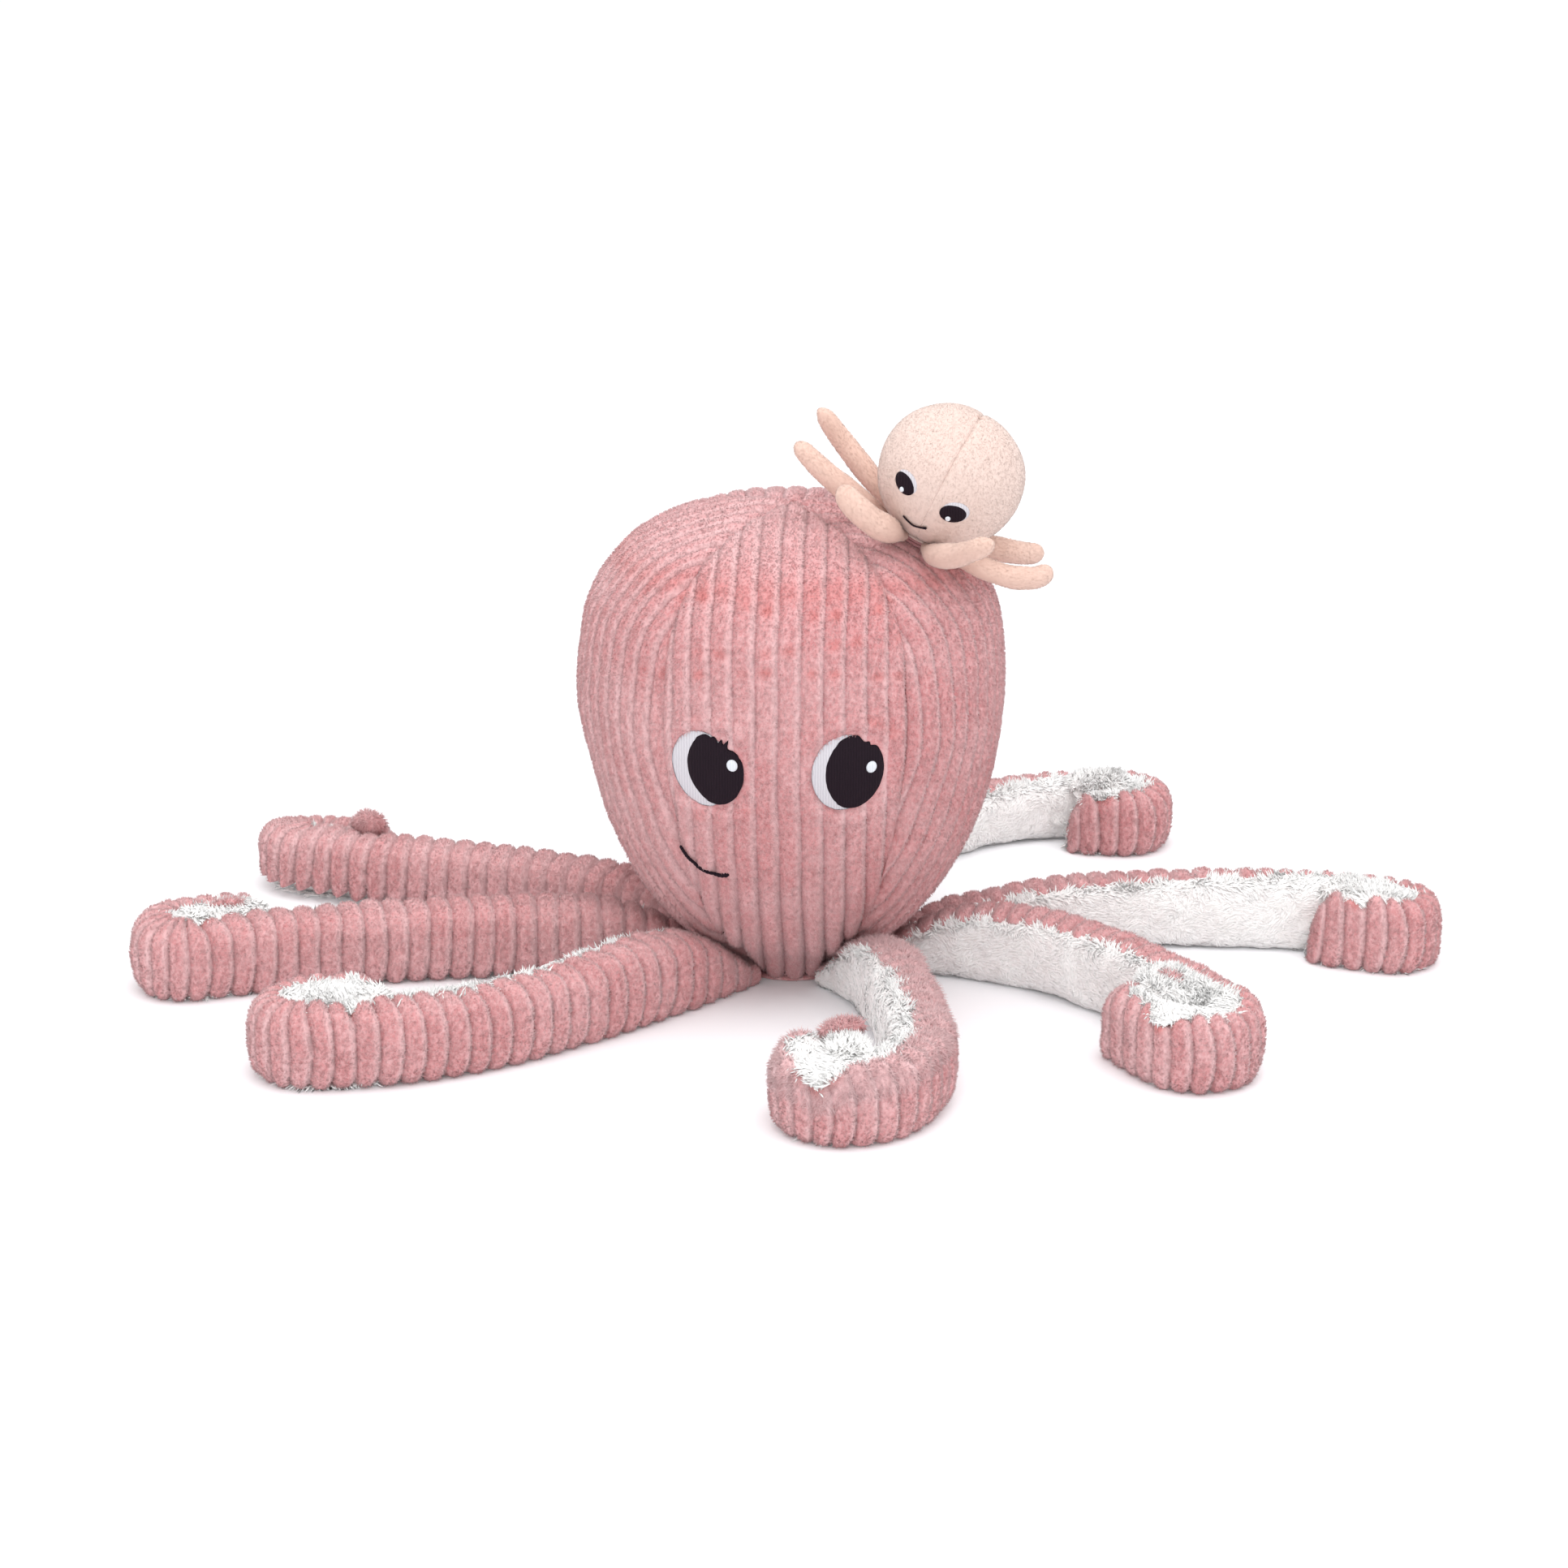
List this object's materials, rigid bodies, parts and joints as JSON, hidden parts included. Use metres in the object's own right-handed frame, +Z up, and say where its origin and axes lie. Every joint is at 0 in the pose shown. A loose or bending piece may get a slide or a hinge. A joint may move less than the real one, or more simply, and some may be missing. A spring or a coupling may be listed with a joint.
{
  "type": "plush octopus",
  "caption": "Stuffed octopus toy of ribbed corduroy and white plush with curled arms and an embroidered face, carrying a removable baby octopus on its head.",
  "frame": {"origin": "on the floor under the axis of the big head, at the centre of the flat base disc", "axes": "+Z up, the face looks along -Y, +X to the viewer's right when facing the face"},
  "size_m": [0.4578, 0.3767, 0.2042],
  "materials": {
    "corduroy": "wide-wale corduroy plush, matt pile",
    "white_plush": "long-pile white plush, matt",
    "peach_plush": "short-pile peach plush, matt",
    "stuffing": "polyester fibre",
    "eye_white": "satin-stitch embroidery",
    "white_thread": "embroidery thread",
    "black_thread": "embroidery thread",
    "patch": "hook-and-loop tape, matt"
  },
  "bodies": {
    "head": {"base_disc": "corduroy", "head_back_panel": "corduroy", "head_front_panel": "corduroy", "head_left_panel": "corduroy", "head_loop_patch": "patch", "head_right_panel": "corduroy", "head_stuffing": "stuffing", "left_eye_glint": "white_thread", "left_eye_white": "eye_white", "left_pupil": "black_thread", "right_eye_glint": "white_thread", "right_eye_white": "eye_white", "right_pupil": "black_thread", "smile_thread": "black_thread"},
    "front_arm": {"front_arm_rib_strip": "corduroy", "front_arm_plush_strip": "white_plush", "front_arm_stuffing": "stuffing"},
    "front_right_arm": {"front_right_arm_rib_strip": "corduroy", "front_right_arm_plush_strip": "white_plush", "front_right_arm_stuffing": "stuffing"},
    "mid_right_arm": {"mid_right_arm_rib_strip": "corduroy", "mid_right_arm_plush_strip": "white_plush", "mid_right_arm_stuffing": "stuffing"},
    "back_right_arm": {"back_right_arm_rib_strip": "corduroy", "back_right_arm_plush_strip": "white_plush", "back_right_arm_stuffing": "stuffing"},
    "back_arm": {"back_arm_rib_strip": "corduroy", "back_arm_plush_strip": "white_plush", "back_arm_stuffing": "stuffing"},
    "back_left_arm": {"back_left_arm_rib_strip": "corduroy", "back_left_arm_plush_strip": "white_plush", "back_left_arm_stuffing": "stuffing"},
    "mid_left_arm": {"mid_left_arm_rib_strip": "corduroy", "mid_left_arm_plush_strip": "white_plush", "mid_left_arm_stuffing": "stuffing"},
    "front_left_arm": {"front_left_arm_rib_strip": "corduroy", "front_left_arm_plush_strip": "white_plush", "front_left_arm_stuffing": "stuffing"},
    "baby": {"baby_base_disc": "peach_plush", "baby_head_left_panel": "peach_plush", "baby_head_right_panel": "peach_plush", "baby_head_stuffing": "stuffing", "baby_hook_patch": "patch", "baby_left_eye_glint": "white_thread", "baby_left_eye_white": "eye_white", "baby_left_pupil": "black_thread", "baby_right_eye_glint": "white_thread", "baby_right_eye_white": "eye_white", "baby_right_pupil": "black_thread", "baby_smile_thread": "black_thread"},
    "baby_front_arm": {"baby_front_arm": "peach_plush"},
    "baby_front_right_arm": {"baby_front_right_arm": "peach_plush"},
    "baby_mid_right_arm": {"baby_mid_right_arm": "peach_plush"},
    "baby_back_right_arm": {"baby_back_right_arm": "peach_plush"},
    "baby_back_arm": {"baby_back_arm": "peach_plush"},
    "baby_back_left_arm": {"baby_back_left_arm": "peach_plush"},
    "baby_mid_left_arm": {"baby_mid_left_arm": "peach_plush"},
    "baby_front_left_arm": {"baby_front_left_arm": "peach_plush"}
  },
  "joints": [
    {"name": "front_arm_lift", "type": "hinge", "parent": "head", "child": "front_arm", "pos_m": [0.01129, -0.02123, 0.0068], "axis": [-0.8829, -0.4695, 0], "range_deg": [0, 16]},
    {"name": "front_right_arm_lift", "type": "hinge", "parent": "head", "child": "front_right_arm", "pos_m": [0.02368, -0.00417, 0.0068], "axis": [-0.1736, -0.9848, 0], "range_deg": [0, 16]},
    {"name": "mid_right_arm_lift", "type": "hinge", "parent": "head", "child": "mid_right_arm", "pos_m": [0.02123, 0.01129, 0.0068], "axis": [0.4695, -0.8829, 0], "range_deg": [0, 16]},
    {"name": "back_right_arm_lift", "type": "hinge", "parent": "head", "child": "back_right_arm", "pos_m": [0.00743, 0.02286, 0.0068], "axis": [0.9511, -0.309, 0], "range_deg": [0, 16]},
    {"name": "back_arm_lift", "type": "hinge", "parent": "head", "child": "back_arm", "pos_m": [-0.00901, 0.02229, 0.0068], "axis": [0.9272, 0.3746, 0], "range_deg": [0, 16]},
    {"name": "back_left_arm_lift", "type": "hinge", "parent": "head", "child": "back_left_arm", "pos_m": [-0.02123, 0.01129, 0.0068], "axis": [0.4695, 0.8829, 0], "range_deg": [0, 16]},
    {"name": "mid_left_arm_lift", "type": "hinge", "parent": "head", "child": "mid_left_arm", "pos_m": [-0.0236, -0.00459, 0.0068], "axis": [-0.1908, 0.9816, 0], "range_deg": [0, 16]},
    {"name": "front_left_arm_lift", "type": "hinge", "parent": "head", "child": "front_left_arm", "pos_m": [-0.01447, -0.0192, 0.0068], "axis": [-0.7986, 0.6018, 0], "range_deg": [0, 16]},
    {"name": "baby_lift", "type": "slide", "parent": "head", "child": "baby", "axis": [0.4042, -0.1885, 0.8951], "range_m": [0, 0.06]},
    {"name": "baby_front_arm_lift", "type": "hinge", "parent": "baby", "child": "baby_front_arm", "pos_m": [0.04442, -0.03082, 0.15933], "axis": [-0.911, -0.1705, 0.3755], "range_deg": [0, 15]},
    {"name": "baby_front_right_arm_lift", "type": "hinge", "parent": "baby", "child": "baby_front_right_arm", "pos_m": [0.05082, -0.02688, 0.15727], "axis": [-0.6222, -0.7739, 0.118], "range_deg": [0, 15]},
    {"name": "baby_mid_right_arm_lift", "type": "hinge", "parent": "baby", "child": "baby_mid_right_arm", "pos_m": [0.05335, -0.01771, 0.15805], "axis": [0.1452, -0.9529, -0.2662], "range_deg": [0, 15]},
    {"name": "baby_back_right_arm_lift", "type": "hinge", "parent": "baby", "child": "baby_back_right_arm", "pos_m": [0.04936, -0.01114, 0.16124], "axis": [0.7413, -0.5058, -0.4412], "range_deg": [0, 15]},
    {"name": "baby_back_arm_lift", "type": "hinge", "parent": "baby", "child": "baby_back_arm", "pos_m": [0.04229, -0.00985, 0.1647], "axis": [0.9076, 0.2042, -0.3668], "range_deg": [0, 15]},
    {"name": "baby_back_left_arm_lift", "type": "hinge", "parent": "baby", "child": "baby_back_left_arm", "pos_m": [0.036, -0.01402, 0.16667], "axis": [0.5985, 0.7945, -0.1029], "range_deg": [0, 15]},
    {"name": "baby_mid_left_arm_lift", "type": "hinge", "parent": "baby", "child": "baby_mid_left_arm", "pos_m": [0.03358, -0.0216, 0.16616], "axis": [-0.0341, 0.9748, 0.2206], "range_deg": [0, 15]},
    {"name": "baby_front_left_arm_lift", "type": "hinge", "parent": "baby", "child": "baby_front_left_arm", "pos_m": [0.03728, -0.02916, 0.1629], "axis": [-0.7122, 0.5492, 0.4372], "range_deg": [0, 15]}
  ]
}
